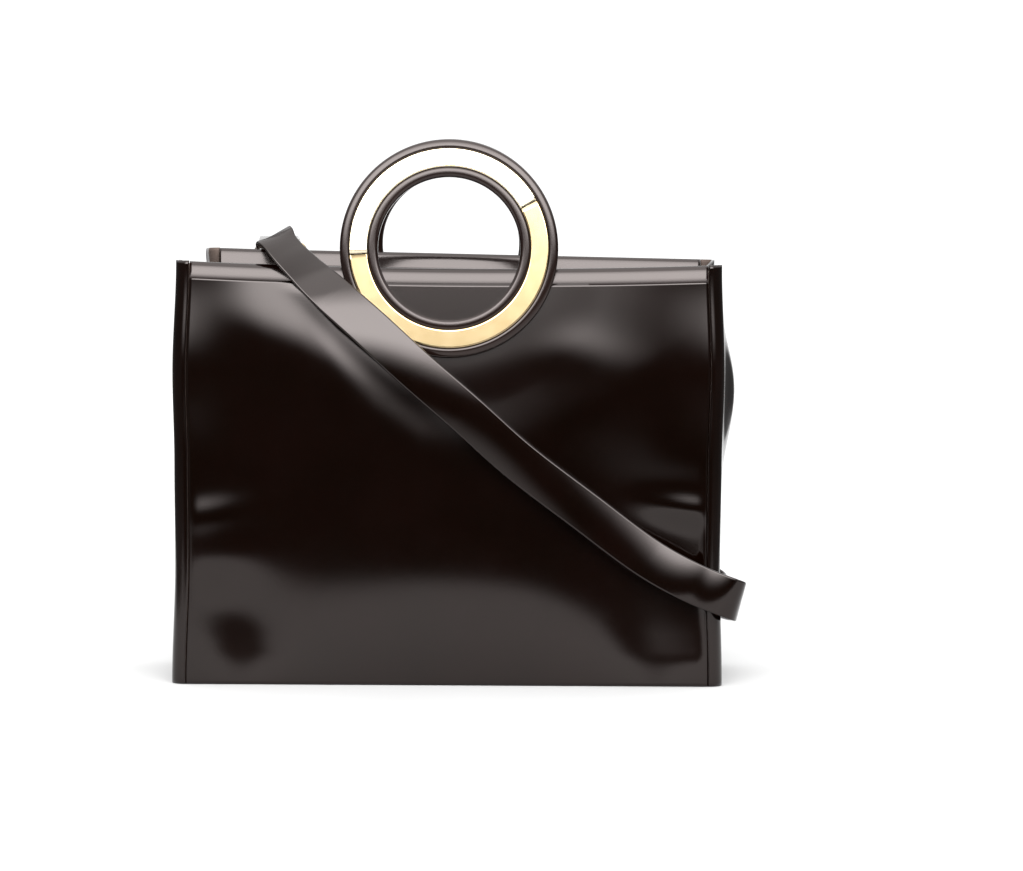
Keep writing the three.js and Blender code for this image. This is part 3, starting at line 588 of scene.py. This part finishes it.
def plate_profile():
    """Section of a gold plate with rounded edges. Two more points keep the rest of its face flat."""
    face = -ring_face - PLATE_PROUD
    back = face + PLATE_THICKNESS
    shoulder = face + PLATE_SHOULDER
    low = PLATE_INNER_RADIUS + PLATE_PLAY
    high = PLATE_OUTER_RADIUS - PLATE_PLAY
    return [
        (low, back), (low, face + PLATE_EDGE), (low + PLATE_SHOULDER, shoulder), (low + PLATE_EDGE, face),
        (low + 2 * PLATE_EDGE, face), (high - 2 * PLATE_EDGE, face),
        (high - PLATE_EDGE, face), (high - PLATE_SHOULDER, shoulder), (high, face + PLATE_EDGE), (high, back),
    ]


def folded_end(wire, away_angle, thickness, lap, run, turn_sign):
    """Leather folded round a wire, as points in the plane of Y and Z."""
    turn = math.radians(away_angle)
    away = Vector((0, math.cos(turn), math.sin(turn)))
    aside = Vector((0, -math.sin(turn), math.cos(turn))) * turn_sign
    layer = (thickness + CLEARANCE) / 2
    loop = RING_WIRE_RADIUS + CLEARANCE + thickness / 2
    points = [wire + away * lap - aside * layer, wire + away * 2 * loop - aside * layer]
    for share in steps(TURN_STEPS):
        angle = math.pi * (share - 0.5)
        points.append(wire - away * loop * math.cos(angle) + aside * loop * math.sin(angle))
    return points + [wire + away * 2 * loop + aside * layer, wire + away * run + aside * layer]


tab_lean = math.degrees(math.atan2(RING_WIRE_RADIUS + CLEARANCE / 2, TAB_LENGTH))
tab_wire_y = ring_back + TAB_THICKNESS + CLEARANCE + RING_WIRE_RADIUS
wire_lift = RING_INNER_HEIGHT + 2 * RING_WIRE_RADIUS

# The left strap ring stands up and the right one hangs down over its tab
STRAP_RINGS = [
    {"name": "left", "x": -RING_SPACING / 2, "tilt": 0, "away": 168, "turn": -1},
    {"name": "right", "x": RING_SPACING / 2, "tilt": -147, "away": -80, "turn": 1},
]
for place in STRAP_RINGS:
    swing = math.radians(place["tilt"])
    place["hinge"] = Vector((place["x"], tab_wire_y, tab_top))
    place["far"] = place["hinge"] + Vector((0, -math.sin(swing), math.cos(swing))) * wire_lift


def wire_mesh(name, place):
    half_x = RING_INNER_WIDTH / 2 + RING_WIRE_RADIUS
    radius = RING_CORNER_RADIUS
    swing = Matrix.Rotation(math.radians(place["tilt"]), 4, "X")
    centres = [
        (half_x - radius, wire_lift - radius, 0), (radius - half_x, wire_lift - radius, 90),
        (radius - half_x, radius, 180), (half_x - radius, radius, 270),
    ]
    rings = []
    for x, z, start in centres:
        for share in steps(CORNER_STEPS):
            turn = math.radians(start + 90 * share)
            outward = Vector((math.cos(turn), 0, math.sin(turn)))
            centre = Vector((x, 0, z)) + outward * radius
            ring = []
            for side in range(WIRE_SIDES):
                angle = 2 * math.pi * side / WIRE_SIDES
                point = centre + outward * RING_WIRE_RADIUS * math.cos(angle)
                point.y += RING_WIRE_RADIUS * math.sin(angle)
                ring.append(place["hinge"] + swing @ point)
            rings.append(ring)
    return sweep(name, rings, closed=True)


def tab_mesh(name, place):
    points = folded_end(place["hinge"], -90 - tab_lean, TAB_THICKNESS, TAB_LENGTH, TAB_LENGTH, 1)
    across = Vector((1, 0, 0))
    return strip(name, [(point, across) for point in points],
                 rounded_section(TAB_WIDTH, TAB_THICKNESS, TAB_EDGE))


def catmull(points, index, share):
    """A point on the centripetal curve through the points, between two of them."""
    p1 = points[index]
    p2 = points[index + 1]
    p0 = points[index - 1] if index > 0 else p1 * 2 - p2
    p3 = points[index + 2] if index + 2 < len(points) else p2 * 2 - p1
    dt0 = max((p1 - p0).length, 1e-4) ** 0.5
    dt1 = max((p2 - p1).length, 1e-4) ** 0.5
    dt2 = max((p3 - p2).length, 1e-4) ** 0.5
    start = ((p1 - p0) / dt0 - (p2 - p0) / (dt0 + dt1) + (p2 - p1) / dt1) * dt1
    end = ((p2 - p1) / dt1 - (p3 - p1) / (dt1 + dt2) + (p3 - p2) / dt2) * dt1
    cubic = p1 * 2 - p2 * 2 + start + end
    square = p2 * 3 - p1 * 3 - start * 2 - end
    return cubic * share ** 3 + square * share ** 2 + start * share + p1


def strap_stations():
    left, right = STRAP_RINGS

    def ended(place):
        ends = folded_end(place["far"], place["away"], STRAP_THICKNESS, STRAP_LAP, STRAP_LAP, place["turn"])
        return [(point, 0, 0) for point in ends]

    middle = []
    for row in STRAP_ROUTE:
        z = row["height"] * BODY_HEIGHT
        facing = math.radians(row["facing"])
        out = CLEARANCE + STRAP_THICKNESS / 2 + row["out"] * stand_off
        x = row["x"] * half_width(z)
        crease = FRONT_CREASE if row["y"] < 0 else BACK_CREASE
        lean = panel_lean(x if row["y"] < 0 else -x, min(z, BODY_HEIGHT - HEM_HEIGHT), crease)
        point = Vector((x, row["y"] * (half_depth(z) + lean), z))
        point += Vector((math.sin(facing), -math.cos(facing), 0)) * out
        middle.append((point, row["lean"], row["tip"]))
    route = ended(left) + middle + ended(right)[::-1]
    points = [point for point, lean, tip in route]
    stations = []
    for index in range(len(route) - 1):
        count = math.ceil((points[index + 1] - points[index]).length / STRAP_STEP)
        for share in steps(count)[:-1]:
            lean = math.radians(mix(route[index][1], route[index + 1][1], share))
            tip = math.radians(mix(route[index][2], route[index + 1][2], share))
            across = Vector((math.cos(lean) * math.cos(tip), math.sin(tip), math.sin(lean) * math.cos(tip)))
            stations.append((catmull(points, index, share), across))
    stations.append((points[-1], stations[-1][1]))
    return stations


# Materials

def linear(code, alpha=1.0):
    """A colour from its sRGB hex code."""
    parts = [int(code[place:place + 2], 16) / 255 for place in (0, 2, 4)]
    parts = [part / 12.92 if part <= 0.04045 else ((part + 0.055) / 1.055) ** 2.4 for part in parts]
    return (*parts, alpha)


def node(tree, kind, settings=None, inputs=None, **links):
    """Adds a node, sets its properties and sockets, and links sockets from other nodes' outputs."""
    made = tree.nodes.new(kind)
    for key, value in (settings or {}).items():
        setattr(made, key, value)
    for key, value in (inputs or {}).items():
        made.inputs[key].default_value = value
    for key, source in links.items():
        tree.links.new(source, made.inputs[key.replace("_", " ")])
    return made


def ramp(made, stops):
    """Sets the stops of a colour ramp."""
    elements = made.color_ramp.elements
    while len(elements) > 1:
        elements.remove(elements[-1])
    elements[0].position, elements[0].color = stops[0]
    for place, colour in stops[1:]:
        elements.new(place).color = colour
    return made


def start_material(name):
    look = bpy.data.materials.new(name)
    look.use_nodes = True
    look.node_tree.nodes.clear()
    return look, look.node_tree


# Waxed and glazed leather: a common index for its finish, whose gloss is faintly warm
LEATHER_IOR = 1.45
LEATHER_TINT = linear("fff4f1")

# Sizes of the patterns. Calf's own pores are too fine to show and are drawn coarser, and so is the
# unevenness of the floor's paper.
DYE_CLOUD = 60
WEAR_PATCH = 14
PORE_RELIEF = 0.35
WIPE_MARK = 8
PAPER_CLOUD = 120


def noise(tree, place, size, detail):
    """Cloudy noise with patches of a size in mm."""
    return node(tree, "ShaderNodeTexNoise", inputs={"Scale": 1 / (size * MM), "Detail": detail},
                Vector=place)


def uneven_gloss(tree, pattern, roughness, spread):
    """A roughness that varies by the spread to both sides with a pattern."""
    limits = {"To Min": roughness - spread, "To Max": roughness + spread}
    return node(tree, "ShaderNodeMapRange", inputs=limits, Value=pattern.outputs["Fac"])


def leather_look(name, dark, light, roughness, spread, grain, depth):
    """Leather with a pore grain of a size and depth in mm, cloudy dye and a gloss uneven with wear."""
    look, tree = start_material(name)
    place = node(tree, "ShaderNodeTexCoord").outputs["Object"]
    cloud = noise(tree, place, DYE_CLOUD, 3)
    dye = ramp(node(tree, "ShaderNodeValToRGB", Fac=cloud.outputs["Fac"]),
               [(0.3, linear(dark)), (0.72, linear(light))])
    worn = noise(tree, place, WEAR_PATCH, 4)
    gloss = uneven_gloss(tree, worn, roughness, spread)
    pores = node(tree, "ShaderNodeTexVoronoi", inputs={"Scale": 1 / (grain * MM)}, Vector=place)
    bump = node(tree, "ShaderNodeBump", inputs={"Strength": PORE_RELIEF, "Distance": depth * MM},
                Height=pores.outputs["Distance"])
    glaze = {"IOR": LEATHER_IOR, "Specular Tint": LEATHER_TINT}
    shader = node(tree, "ShaderNodeBsdfPrincipled", inputs=glaze, Base_Color=dye.outputs["Color"],
                  Roughness=gloss.outputs["Result"], Normal=bump.outputs["Normal"])
    node(tree, "ShaderNodeOutputMaterial", Surface=shader.outputs["BSDF"])
    return look


def metal_look(name, dark, light, roughness, spread):
    """Polished or plain metal with the faint wipe marks of handling in its gloss."""
    look, tree = start_material(name)
    place = node(tree, "ShaderNodeTexCoord").outputs["Object"]
    wipe = noise(tree, place, WIPE_MARK, 5)
    tone = ramp(node(tree, "ShaderNodeValToRGB", Fac=wipe.outputs["Fac"]),
                [(0.35, linear(dark)), (0.65, linear(light))])
    gloss = uneven_gloss(tree, wipe, roughness, spread)
    shader = node(tree, "ShaderNodeBsdfPrincipled", inputs={"Metallic": 1.0},
                  Base_Color=tone.outputs["Color"], Roughness=gloss.outputs["Result"])
    node(tree, "ShaderNodeOutputMaterial", Surface=shader.outputs["BSDF"])
    return look


# Calf leather, polished: nearly black brown, and so smooth that it mirrors the studio softly but clearly
polished_calf = leather_look("calf_leather_polished", "040100", "070201", 0.1, 0.012, 0.5, 0.012)
# The same leather folded and pressed at the hem: its strained finish spreads the light a little more
pressed_calf = leather_look("calf_leather_pressed_hem", "080201", "0b0302", 0.14, 0.015, 0.5, 0.012)
# Leather drawn tight over the ring's core and rubbed by the hand: browner, with broader highlights
ring_calf = leather_look("calf_leather_drawn_over_ring", "0e0706", "170e0b", 0.14, 0.02, 0.5, 0.02)
# The strap's leather, polished, its edges painted alike: as dark and as glossy as the body
strap_calf = leather_look("calf_leather_strap", "040100", "070201", 0.1, 0.012, 0.5, 0.012)
# Flesh side of the leather, brushed: its nap gives no reflection, so it reads as a soft brown grey
suede = leather_look("calf_leather_flesh_side", "423833", "50453f", 0.85, 0.08, 0.35, 0.12)
# Brass plated with gold and polished: a nearly plain mirror, in its own yellow gold on the lower plates. The
# upper plates get a much paler copy of the same gold as a painted highlight, standing in for the white
# reflection of the light from above
yellow_gold = metal_look("brass_gold_plated_polished", "b8a27a", "bda881", 0.13, 0.012)
painted_highlight_gold = metal_look("brass_gold_plated_painted_highlight", "f1e3c4", "f4e7cb", 0.2, 0.012)
# Steel screws, zinc-plated: a grey satin that takes no clear reflection
zinc_steel = metal_look("steel_screws_zinc_plated", "8f8a80", "a8a297", 0.38, 0.06)


def gather(mesh):
    """Draws the upper corner at the back's left end in towards the middle. Mesh in metres, as placed."""
    for vertex in mesh.vertices:
        x, y, z = vertex.co / MM
        across = smoothstep(-x, GATHER_FROM["x"] * BODY_WIDTH / 2, BODY_WIDTH / 2)
        deep = smoothstep(y, GATHER_FROM["y"] * TOP_DEPTH / 2, TOP_DEPTH / 2)
        up = smoothstep(z, GATHER_FROM["height"] * BODY_HEIGHT, BODY_HEIGHT)
        vertex.co.x += GATHER * MM * across * deep * up


# Pieces
finish_piece("base_board", base_mesh("base_board"), [polished_calf], ["base_panel"])
lie = Matrix.Translation((0, -ring_back * MM, ring_touch * MM))
leaned = lie @ Matrix.Rotation(-ring_tilt, 4, "X") @ lie.inverted()
for side, folds, crease, top, turn in (
    ("front", FRONT_FOLDS, FRONT_CREASE, FRONT_TOP, 0),
    ("back", BACK_FOLDS, BACK_CREASE, BACK_TOP, math.pi),
):
    panel = panel_mesh(side + "_panel_skin", folds, crease, top, side == "back")
    finish_piece(side + "_panel_skin", panel, [polished_calf, suede], [side + "_panel"], turn)
    hem = hem_mesh(side + "_hem_roll", top)
    finish_piece(side + "_hem_roll", hem, [pressed_calf], [side + "_hem"], turn)
    ring = lathe(side + "_ring_cover", ring_profile(), 360 / RING_SEGMENTS)
    ring.transform(leaned)
    finish_piece(side + "_ring_cover", ring, [ring_calf], [side + "_ring"], turn)
    seam = math.degrees(PLATE_SEAM / 2 / PLATE_INNER_RADIUS)
    # The upper plates take the paler gold: a painted highlight for the white reflection they catch from above
    arcs = {
        "upper": (SEAM_ANGLES["left"] + seam, SEAM_ANGLES["right"] - seam, painted_highlight_gold),
        "lower": (SEAM_ANGLES["right"] + seam, SEAM_ANGLES["left"] + 360 - seam, yellow_gold),
    }
    for part, (start, end, gold) in arcs.items():
        plate = lathe(f"{side}_gold_{part}", plate_profile(), PLATE_STEP, start, end)
        plate.transform(leaned)
        finish_piece(f"{side}_gold_{part}", plate, [gold], [f"{side}_ring_plate_{part}"], turn)
    for place in ("left", "right"):
        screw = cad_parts[f"{side}_ring_screw_{place}"]
        screw.data.materials.clear()
        screw.data.materials.append(zinc_steel)

right_gusset = gusset_mesh("right_gusset_skin", RIGHT_GUSSET_FOLDS, FRONT_TOP, BACK_TOP)
finish_piece("right_gusset_skin", right_gusset, [polished_calf, suede], ["gusset_right"])
left_gusset = gusset_mesh("left_gusset_skin", LEFT_GUSSET_FOLDS, BACK_TOP, FRONT_TOP)
finish_piece("left_gusset_skin", left_gusset, [polished_calf, suede], ["gusset_left"], math.pi)

strap_section = rounded_section(STRAP_WIDTH, STRAP_THICKNESS, STRAP_EDGE)
strap = strip("shoulder_strap", strap_stations(), strap_section)
finish_piece("shoulder_strap", strap, [strap_calf], ["strap"])
for place in STRAP_RINGS:
    name = place["name"]
    tab = tab_mesh(f"{name}_tab_loop", place)
    finish_piece(f"{name}_tab_loop", tab, [strap_calf], [f"strap_tab_{name}"])
    wire = wire_mesh(f"{name}_wire_ring", place)
    finish_piece(f"{name}_wire_ring", wire, [yellow_gold], [f"strap_ring_{name}"])

# Camera at the photograph's viewing angle
EYE = Vector((28, -2650, 350))
AIM = Vector((40.5, -58, 161))
FRAME_WIDTH = 654
SENSOR = 36
ROLL = math.radians(0.35)

camera_data = bpy.data.cameras.new("camera")
camera_data.sensor_width = SENSOR
camera_data.lens = SENSOR * (AIM - EYE).length / FRAME_WIDTH
camera = bpy.data.objects.new("camera", camera_data)
bpy.context.scene.collection.objects.link(camera)
camera.location = EYE * MM
look_along = (AIM - EYE).to_track_quat("-Z", "Y")
camera.rotation_mode = "QUATERNION"
camera.rotation_quaternion = look_along @ Matrix.Rotation(ROLL, 4, "Z").to_quaternion()
bpy.context.scene.camera = camera

# Floor of matt white paper: even and without gloss, so the bag's shade on it stays soft
FLOOR_HALF_WIDTH = 750
FLOOR_BACK = 3000
FLOOR_FRONT = 600

floor_look, tree = start_material("floor_paper_matt_white")
place = node(tree, "ShaderNodeTexCoord").outputs["Object"]
cloud = noise(tree, place, PAPER_CLOUD, 2)
paper = ramp(node(tree, "ShaderNodeValToRGB", Fac=cloud.outputs["Fac"]),
             [(0.3, linear("adadad")), (0.7, linear("b0b0b0"))])
shader = node(tree, "ShaderNodeBsdfPrincipled", inputs={"Roughness": 0.9}, Base_Color=paper.outputs["Color"])
node(tree, "ShaderNodeOutputMaterial", Surface=shader.outputs["BSDF"])
floor_mesh = bpy.data.meshes.new("floor")
wide = FLOOR_HALF_WIDTH * MM
near = -FLOOR_FRONT * MM
far = FLOOR_BACK * MM
floor_mesh.from_pydata([(-wide, near, 0), (wide, near, 0), (wide, far, 0), (-wide, far, 0)],
                       [], [(0, 1, 2, 3)])
floor_mesh.materials.append(floor_look)
floor = bpy.data.objects.new("floor", floor_mesh)
bpy.context.scene.collection.objects.link(floor)

# Light of the studio behind the bag, at its sides and in front of it. Each starts and is full at a share
# of +Y in the direction looked along, and its levels are pairs of elevation in degrees and strength.
BRIGHTEST = 14
STUDIO_LIGHT = [
    {"starts": 1.0, "full": 1.0, "levels": [(-90, 1.2), (8, 1.2), (30, 1.5), (90, 3.0)]},
    {"starts": 0.97, "full": 0.9, "levels": [
        (-90, 1.1), (-10, 0.9), (-6, 0.12), (10, 0.12), (30, 1.5), (90, 3.0)]},
    {"starts": -0.7, "full": -0.93, "levels": [
        (-90, 1.2), (-13, 1.1), (-8, 0.02), (1.5, 0.02), (4.2, 1.0), (7, 3.6), (9.5, 8.5),
        (14, 13.5), (30, 13), (44, 4), (90, 4)]},
]

# Studio: a white room whose light comes from high in front, with a dark band at the height of the lens
world = bpy.data.worlds.new("studio")
bpy.context.scene.world = world
world.use_nodes = True
tree = world.node_tree
tree.nodes.clear()
way = node(tree, "ShaderNodeTexCoord").outputs["Generated"]
parts = node(tree, "ShaderNodeSeparateXYZ", Vector=way)
level = node(tree, "ShaderNodeVectorMath", {"operation": "MULTIPLY"}, {1: (1, 1, 0)})
tree.links.new(way, level.inputs[0])
length = node(tree, "ShaderNodeVectorMath", {"operation": "LENGTH"}, Vector=level.outputs["Vector"])
ahead = node(tree, "ShaderNodeMath", {"operation": "DIVIDE"})
tree.links.new(parts.outputs["Y"], ahead.inputs[0])
tree.links.new(length.outputs["Value"], ahead.inputs[1])
height = node(tree, "ShaderNodeMapRange", inputs={"From Min": -1, "From Max": 1}, Value=parts.outputs["Z"])
light = None
for row in STUDIO_LIGHT:
    stops = []
    for elevation, strength in row["levels"]:
        grey = strength / BRIGHTEST
        stops.append(((math.sin(math.radians(elevation)) + 1) / 2, (grey, grey, grey, 1)))
    band = ramp(node(tree, "ShaderNodeValToRGB", Fac=height.outputs["Result"]), stops)
    if light is None:
        light = band.outputs["Color"]
        continue
    turned = node(tree, "ShaderNodeMapRange", {"interpolation_type": "SMOOTHSTEP"},
                  {"From Min": row["starts"], "From Max": row["full"]}, Value=ahead.outputs["Value"])
    blend = node(tree, "ShaderNodeMix", {"data_type": "RGBA"}, Factor=turned.outputs["Result"])
    tree.links.new(light, blend.inputs["A"])
    tree.links.new(band.outputs["Color"], blend.inputs["B"])
    light = blend.outputs[2]
studio = node(tree, "ShaderNodeBackground", inputs={"Strength": BRIGHTEST})
tree.links.new(light, studio.inputs["Color"])
node(tree, "ShaderNodeOutputWorld", Surface=studio.outputs["Background"])

bpy.context.scene.view_settings.view_transform = "Standard"
